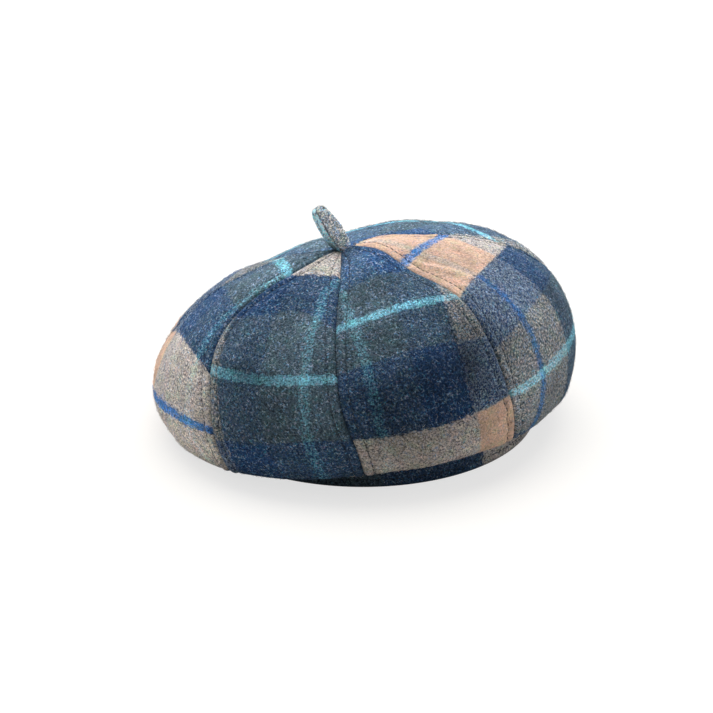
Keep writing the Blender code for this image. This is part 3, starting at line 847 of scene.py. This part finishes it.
def grain(tree, place, stretch, scale, detail=2.0, turn=0.0):
    """Noise on the cloth, stretched so that its specks lie like short hairs."""
    mapping = add_node(tree, "ShaderNodeMapping", {
        "Scale": (1 / stretch[0], 1 / stretch[1], 1.0), "Rotation": (0.0, 0.0, math.radians(turn)),
    }, vector_type="TEXTURE")
    noise = add_node(tree, "ShaderNodeTexNoise", {"Scale": scale, "Detail": detail, "Roughness": 0.6})
    link_all(tree, [(place, mapping.inputs["Vector"]), (mapping.outputs[0], noise.inputs["Vector"])])
    return noise.outputs["Fac"]


def centred(tree, value, strength):
    """A noise value moved to swing around zero."""
    return maths(tree, "MULTIPLY", maths(tree, "SUBTRACT", value, 0.5), strength)


def fibre_web(tree, place, scale, low, high, first_turn):
    """Thin crossing fibres: the brightest of stretched noises laid at several angles."""
    web = None
    for turn in (0, 41, 87, 138):
        streak = grain(tree, place, (0.5, 1.4), scale, turn=first_turn + turn)
        web = streak if web is None else maths(tree, "MAXIMUM", web, streak)
    return ramp(tree, web, ((low, (0, 0, 0)), (high, (1, 1, 1))))["Color"]


# %% The weave
def weave(tree, place, warp, weft, up_hairs):
    """Colour of the weave, and a value that is 1 where oat crosses oat."""
    wander = centred(tree, grain(tree, place, EVEN, 0.16), 3.0)
    warp_wave = centred(tree, grain(tree, place, (1.0, 0.4), 0.8), 7.0)
    weft_wave = centred(tree, grain(tree, place, (0.4, 1.0), 0.8), 6.0)
    warp_place = maths(tree, "ADD", warp_wave, maths(tree, "ADD", warp, wander))
    weft_place = maths(tree, "ADD", weft_wave, maths(tree, "ADD", weft, wander))
    warp_yarn = stripes(tree, warp_place, WARP_HALF, WARP_STRIPES)
    weft_yarn = stripes(tree, weft_place, WEFT_HALF, WEFT_STRIPES)
    warp_line = stripes(tree, warp, WARP_HALF, WARP_STRIPES, "cornflower")["Alpha"]
    warp_oat = stripes(tree, warp, WARP_HALF, WARP_STRIPES, "oat")["Alpha"]
    weft_oat = stripes(tree, weft, WEFT_HALF, WEFT_STRIPES, "oat")["Alpha"]
    weft_petrol = stripes(tree, weft, WEFT_HALF, WEFT_STRIPES, "petrol")["Alpha"]

    both = maths(tree, "ADD", weft_yarn["Alpha"], warp_yarn["Alpha"])
    share = maths(tree, "DIVIDE", weft_yarn["Alpha"], both)
    cross_hairs = grain(tree, place, (0.5, 1.3), 1.05, turn=-15)
    pick = maths(tree, "MULTIPLY", maths(tree, "SUBTRACT", up_hairs, cross_hairs), 2.5)
    pick = maths(tree, "ADD", pick, share)
    pick = maths(tree, "MULTIPLY_ADD", weft_oat, 0.12, pick)
    line_on_oat = maths(tree, "MULTIPLY", warp_line, weft_oat)
    pick = maths(tree, "MULTIPLY_ADD", line_on_oat, 0.7, pick, clamp=True)
    woven = mixed(tree, "MIX", pick, warp_yarn["Color"], weft_yarn["Color"])

    oat_square = maths(tree, "MULTIPLY_ADD", warp_line, 0.5, warp_oat)
    oat_square = maths(tree, "MULTIPLY", oat_square, weft_oat)
    woven = mixed(tree, "MULTIPLY", oat_square, woven, (*OAT_ON_OAT, 1.0))
    oat_petrol = maths(tree, "MULTIPLY", warp_oat, weft_petrol)
    return mixed(tree, "MULTIPLY", oat_petrol, woven, (*OAT_UNDER_PETROL, 1.0)), oat_square


def brushing_marks(tree, place, woven, oat_square):
    """The weave under light fibres, dark gaps and a drift of colour; also the light fibres."""
    tint = ramp(tree, grain(tree, place, (1.0, 0.8), 0.7, detail=1.0), FIBRE_TINTS)["Color"]
    clumps = ramp(tree, grain(tree, place, EVEN, 0.20), CLUMP_TINTS)["Color"]
    light_web = fibre_web(tree, place, 0.70, 0.58, 0.70, 11)
    strength = maths(tree, "MULTIPLY", light_web, maths(tree, "MULTIPLY_ADD", oat_square, -0.45, 1.0))
    strength = maths(tree, "MULTIPLY", strength, clumps)
    woven = mixed(tree, "MIX", strength, woven, tint)
    dark_web = fibre_web(tree, place, 0.66, 0.57, 0.70, 64)
    gaps = maths(tree, "MULTIPLY", dark_web, maths(tree, "MULTIPLY_ADD", oat_square, -0.50, 0.98))
    woven = mixed(tree, "MULTIPLY", gaps, woven, (*DARK_GAP, 1.0))
    drift = ramp(tree, grain(tree, place, EVEN, 0.13, detail=3.0), DRIFT_TINTS)["Color"]
    return mixed(tree, "MULTIPLY", 0.55, woven, drift), light_web


# %% Wool material
def brushed_wool(name):
    """Plaid wool that reads each point's place on the cloth."""
    wool, tree, shader = new_material(name, {
        "Roughness": 0.95, "Specular IOR Level": 0.05, "Sheen Weight": 0.04,
        "Sheen Roughness": 0.5, "Sheen Tint": (0.9, 0.95, 1.0, 1.0)})
    cloth = add_node(tree, "ShaderNodeAttribute", attribute_name="cloth").outputs["Vector"]
    place = add_node(tree, "ShaderNodeAttribute", attribute_name="grain").outputs["Vector"]
    cloth_parts = add_node(tree, "ShaderNodeSeparateXYZ")
    place_parts = add_node(tree, "ShaderNodeSeparateXYZ")
    link_all(tree, [(cloth, cloth_parts.inputs[0]), (place, place_parts.inputs[0])])
    warp, weft, painted_shading = cloth_parts.outputs
    up_hairs = grain(tree, place, (1.3, 0.5), 1.05, turn=12)
    woven, oat_square = weave(tree, place, warp, weft, up_hairs)
    woven, light_web = brushing_marks(tree, place, woven, oat_square)

    tone = grain(tree, place, EVEN, 0.9, detail=3.0)
    swing = maths(tree, "MULTIPLY_ADD", oat_square, -1.7, 3.8)
    shade = maths(tree, "MULTIPLY_ADD", maths(tree, "SUBTRACT", tone, 0.5), swing, 1.24)
    patch = centred(tree, grain(tree, place, EVEN, 0.09, detail=3.0), 0.9)
    shade = maths(tree, "MULTIPLY", shade, maths(tree, "ADD", patch, 1.0))
    # Painted shade and painted light, from the third cloth number, darken or lighten the wool.
    shade = maths(tree, "MULTIPLY", shade, maths(tree, "MULTIPLY_ADD", painted_shading, -0.30, 1.0))
    tinted = add_node(tree, "ShaderNodeVectorMath", operation="SCALE")

    diagonal = maths(tree, "ADD", place_parts.outputs[0], place_parts.outputs[1])
    twill = maths(tree, "SINE", maths(tree, "MULTIPLY", diagonal, 4.2))
    height = maths(tree, "ADD", maths(tree, "MULTIPLY", twill, 0.12), maths(tree, "ADD", tone, up_hairs))
    height = maths(tree, "MULTIPLY_ADD", light_web, 0.35, height)
    bump = add_node(tree, "ShaderNodeBump", {"Strength": 0.8, "Distance": 0.0006})
    link_all(tree, [
        (woven, tinted.inputs[0]),
        (shade, tinted.inputs["Scale"]),
        (tinted.outputs[0], shader.inputs["Base Color"]),
        (height, bump.inputs["Height"]),
        (bump.outputs[0], shader.inputs["Normal"]),
    ])
    return wool


plaid_wool = brushed_wool("brushed_plaid_wool")
for piece in crown + [band, stem]:
    piece.data.materials.append(plaid_wool)
print("wool nodes:", len(plaid_wool.node_tree.nodes))

# %% [markdown]
# Every seam is pressed open and stitched down on both sides, so two rows of topstitching run beside
# it from the stem to the rim. One stitch is a short thread that dips into the wool at both ends.
# Geometry Nodes set one stitch after another along each row, with the spacing, the length and the
# thread's thickness as inputs, and then turn them all into plain mesh.
# %% Rows that the stitches follow
def stitch_row(g, side):
    """Points of the row of stitching on one side of a gore."""
    distance = g["before"] if side < 0 else g["after"][:, ::-1]
    points = g["sewn"] if side < 0 else g["sewn"][:, ::-1]
    outward = g["outward"] if side < 0 else g["outward"][:, ::-1]
    row = []
    for i in range(3, len(points) - 12):
        place = float(g["row"][i, 0])
        at = np.array([np.interp(place, distance[i], points[i, :, c]) for c in range(3)])
        up = np.array([np.interp(place, distance[i], outward[i, :, c]) for c in range(3)])
        row.append(at + up * 0.02 * MM + AXIS)
    return row


def polyline_object(name, rows):
    """Mesh of plain polylines, one for each row."""
    vertices, edges = [], []
    for row in rows:
        start = len(vertices)
        vertices.extend(tuple(p) for p in row)
        edges.extend((start + i, start + i + 1) for i in range(len(row) - 1))
    return add_mesh(name, vertices, [], edges)


crown_rows = [stitch_row(g, side) for g in gores for side in (-1, 1)]
row_radius = BAND_OUTER - 0.10 * MM
band_row = [np.array([row_radius * math.cos(a), row_radius * math.sin(a), BAND_STITCH]) + AXIS
            for a in np.radians(np.linspace(BAND_JOIN + 1, BAND_JOIN + 359, 240))]
print("rows of topstitching:", len(crown_rows) + 1)


# %% Start and end of a Geometry Nodes tree
def new_tree(name, inputs, result):
    """A tree with its named inputs and its result, and the sockets inside it for both."""
    tree = bpy.data.node_groups.new(name, "GeometryNodeTree")
    tree.is_modifier = True
    for label, kind in inputs:
        tree.interface.new_socket(label, in_out="INPUT", socket_type="NodeSocket" + kind)
    tree.interface.new_socket(result, in_out="OUTPUT", socket_type="NodeSocketGeometry")
    return tree, add_node(tree, "NodeGroupInput").outputs, add_node(tree, "NodeGroupOutput").inputs


def real_and_coloured(tree, copies, material, result):
    """The last nodes of a tree: copies become real mesh, smooth and with their material."""
    real = add_node(tree, "GeometryNodeRealizeInstances")
    smooth = add_node(tree, "GeometryNodeSetShadeSmooth")
    coloured = add_node(tree, "GeometryNodeSetMaterial")
    link_all(tree, [
        (copies, real.inputs[0]),
        (real.outputs[0], smooth.inputs[0]),
        (smooth.outputs[0], coloured.inputs[0]),
        (material, coloured.inputs["Material"]),
        (coloured.outputs[0], result),
    ])


def grown(carrier, tree, settings, name):
    """Run a node tree on an object and keep the result as a plain mesh of its own."""
    modifier = carrier.modifiers.new(tree.name, "NODES")
    modifier.node_group = tree
    for item in tree.interface.items_tree:
        if item.item_type == "SOCKET" and item.in_out == "INPUT" and item.name in settings:
            modifier[item.identifier] = settings[item.name]
    bpy.context.view_layer.update()
    result = carrier.evaluated_get(bpy.context.evaluated_depsgraph_get())
    mesh = bpy.data.meshes.new_from_object(result)
    mesh.name = name
    carrier.modifiers.remove(modifier)
    bpy.data.objects.remove(carrier, do_unlink=True)
    return add_object(name, mesh)


# %% Node tree that sews a row
def stitching_tree():
    """Geometry Nodes: one capsule of thread after another along each polyline."""
    tree, given, made = new_tree("topstitching", (
        ("Rows", "Geometry"), ("Spacing", "Float"), ("Stitch Length", "Float"),
        ("Thread Thickness", "Float"), ("Thread", "Material")), "Stitches")
    path = add_node(tree, "GeometryNodeMeshToCurve")
    spaced = add_node(tree, "GeometryNodeResampleCurve", mode="LENGTH")
    along = add_node(tree, "GeometryNodeInputTangent")
    turned = add_node(tree, "FunctionNodeAlignRotationToVector", axis="Z")
    capsule = add_node(tree, "GeometryNodeMeshUVSphere", {"Segments": 6, "Rings": 5, "Radius": 0.5})
    size = add_node(tree, "ShaderNodeCombineXYZ")
    sewn = add_node(tree, "GeometryNodeInstanceOnPoints")
    link_all(tree, [
        (given["Rows"], path.inputs[0]),
        (path.outputs[0], spaced.inputs["Curve"]),
        (given["Spacing"], spaced.inputs["Length"]),
        (along.outputs[0], turned.inputs["Vector"]),
        (given["Thread Thickness"], size.inputs[0]),
        (given["Thread Thickness"], size.inputs[1]),
        (given["Stitch Length"], size.inputs[2]),
        (spaced.outputs[0], sewn.inputs["Points"]),
        (capsule.outputs["Mesh"], sewn.inputs["Instance"]),
        (turned.outputs[0], sewn.inputs["Rotation"]),
        (size.outputs[0], sewn.inputs["Scale"]),
    ])
    real_and_coloured(tree, sewn.outputs[0], given["Thread"], made[0])
    return tree


# %% Thread and the sewn rows
def thread_material():
    """Dark wool-mix thread with a faint twist."""
    thread, tree, shader = new_material("navy_thread", {"Roughness": 0.8, "Specular IOR Level": 0.2})
    place = add_node(tree, "ShaderNodeTexCoord").outputs["Object"]
    speck = grain(tree, place, EVEN, 900.0)
    bump = add_node(tree, "ShaderNodeBump", {"Strength": 0.6, "Distance": 0.0001})
    link_all(tree, [
        (ramp(tree, speck, THREAD_TINTS)["Color"], shader.inputs["Base Color"]),
        (speck, bump.inputs["Height"]),
        (bump.outputs[0], shader.inputs["Normal"]),
    ])
    return thread


sewing = {"Spacing": 3.1 * MM, "Stitch Length": 2.3 * MM, "Thread Thickness": 0.50 * MM,
          "Thread": thread_material()}
stitching = stitching_tree()
for name, rows, slot in (("crown_topstitching", crown_rows, "crown_wool"),
                         ("band_topstitching", [band_row], "band_wool")):
    sewn = grown(polyline_object(name + "_rows", rows), stitching, sewing, name)
    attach(sewn, "root")
    print(name, "faces:", len(sewn.data.polygons))

# %% [markdown]
# Brushing lifts short fibres out of the wool. Each one here is a thin bent thread that stands a
# little way off the cloth. It keeps the cloth position of its root, moved by a few millimetres, so
# that a beige hair can stray over the navy. One node tree scatters them over the outer face of a
# gore; its inputs are the number of hairs for a square metre, their length and their thickness.
# %% Node tree that grows stray hairs
HAIR_LENGTH = 2.6 * MM
HAIR_THICKNESS = 0.10 * MM
HAIR_SIZES = (0.45, 1.25)   # shares of the length, from the shortest hair to the longest
STRAY_LOW = (-7.0, -7.0, -2.0)   # how far a hair's cloth position moves: warp, weft, darkening
STRAY_HIGH = (7.0, 7.0, 0.6)
FLOOR_CLEAR = 1.8 * MM      # no hairs grow lower than this


def hair_tree():
    """Geometry Nodes: bent hairs scattered over a surface, each with its own cloth position."""
    tree, given, made = new_tree("stray_hairs", (
        ("Wool Face", "Geometry"), ("Hairs Per Area", "Float"), ("Hair Length", "Float"),
        ("Hair Thickness", "Float"), ("Seed", "Int"), ("Wool", "Material")), "Hairs")
    bend = add_node(tree, "GeometryNodeCurveQuadraticBezier", {
        "Resolution": 3, "Start": (-0.5, 0.0, -0.05), "Middle": (0.05, 0.16, 0.34),
        "End": (0.5, -0.04, 0.06)})
    profile = add_node(tree, "GeometryNodeCurvePrimitiveCircle", {"Resolution": 3})
    thin = maths(tree, "DIVIDE", given["Hair Thickness"], given["Hair Length"])
    strand = add_node(tree, "GeometryNodeCurveToMesh", {"Fill Caps": True})
    scattered = add_node(tree, "GeometryNodeDistributePointsOnFaces")
    turn = add_node(tree, "FunctionNodeRandomValue", {3: 2 * math.pi, "Seed": 7}, data_type="FLOAT")
    spin = add_node(tree, "ShaderNodeCombineXYZ")
    turned = add_node(tree, "FunctionNodeRotateRotation", rotation_space="LOCAL")
    share = add_node(tree, "FunctionNodeRandomValue", {2: HAIR_SIZES[0], 3: HAIR_SIZES[1], "Seed": 8},
                     data_type="FLOAT")
    length = maths(tree, "MULTIPLY", share.outputs[1], given["Hair Length"])
    cloth = add_node(tree, "GeometryNodeInputNamedAttribute", {"Name": "cloth"}, data_type="FLOAT_VECTOR")
    stray = add_node(tree, "FunctionNodeRandomValue", {0: STRAY_LOW, 1: STRAY_HIGH, "Seed": 9},
                     data_type="FLOAT_VECTOR")
    moved = add_node(tree, "ShaderNodeVectorMath", operation="ADD")
    kept = add_node(tree, "GeometryNodeStoreNamedAttribute", {"Name": "cloth"},
                    data_type="FLOAT_VECTOR", domain="POINT")
    hairs = add_node(tree, "GeometryNodeInstanceOnPoints")
    link_all(tree, [
        (maths(tree, "MULTIPLY", thin, 0.5), profile.inputs["Radius"]),
        (bend.outputs[0], strand.inputs["Curve"]),
        (profile.outputs["Curve"], strand.inputs["Profile Curve"]),
        (given["Wool Face"], scattered.inputs["Mesh"]),
        (given["Hairs Per Area"], scattered.inputs["Density"]),
        (given["Seed"], scattered.inputs["Seed"]),
        (scattered.outputs["Points"], kept.inputs["Geometry"]),
        (cloth.outputs["Attribute"], moved.inputs[0]),
        (stray.outputs[0], moved.inputs[1]),
        (moved.outputs[0], kept.inputs["Value"]),
        (turn.outputs[1], spin.inputs[2]),
        (scattered.outputs["Rotation"], turned.inputs["Rotation"]),
        (spin.outputs[0], turned.inputs["Rotate By"]),
        (kept.outputs[0], hairs.inputs["Points"]),
        (strand.outputs[0], hairs.inputs["Instance"]),
        (turned.outputs[0], hairs.inputs["Rotation"]),
        (length, hairs.inputs["Scale"]),
    ])
    real_and_coloured(tree, hairs.outputs[0], given["Wool"], made[0])
    return tree


# %% Stray hairs on every piece of wool
def outer_face(thing, count):
    """Copy of the first faces of a piece, with what it knows about the cloth."""
    mesh = thing.data
    faces = [list(polygon.vertices) for polygon in mesh.polygons[:count]
             if min(mesh.vertices[v].co.z for v in polygon.vertices) > FLOOR_CLEAR]
    last = max(max(face) for face in faces) + 1
    copy = add_mesh(thing.name + "_face", [tuple(v.co) for v in mesh.vertices[:last]], faces)
    for layer in ("cloth", "grain"):
        values = np.zeros(len(mesh.vertices) * 3, dtype=np.float32)
        mesh.attributes[layer].data.foreach_get("vector", values)
        store_vectors(copy, layer, values[:last * 3])
    return copy


brushing = hair_tree()
gore_faces = (ROWS - 1) * (gores[0]["sewn"].shape[1] - 1)
hairy = [(gore, gore_faces, "crown_wool", 1.5e5) for gore in crown]
hairy.append((band, len(band.data.polygons) - 2, "band_wool", 0.7e5))
hairy.append((stem, len(stem.data.polygons) - 2, "stem_wool", 2.5e5))
for i, (piece, count, slot, density) in enumerate(hairy):
    settings = {"Hairs Per Area": density, "Hair Length": HAIR_LENGTH, "Hair Thickness": HAIR_THICKNESS,
                "Seed": 40 + i, "Wool": plaid_wool}
    hairs = grown(outer_face(piece, count), brushing, settings, "stray_hairs_" + piece.name)
    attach(hairs, "root")
    print(hairs.name, "faces:", len(hairs.data.polygons))
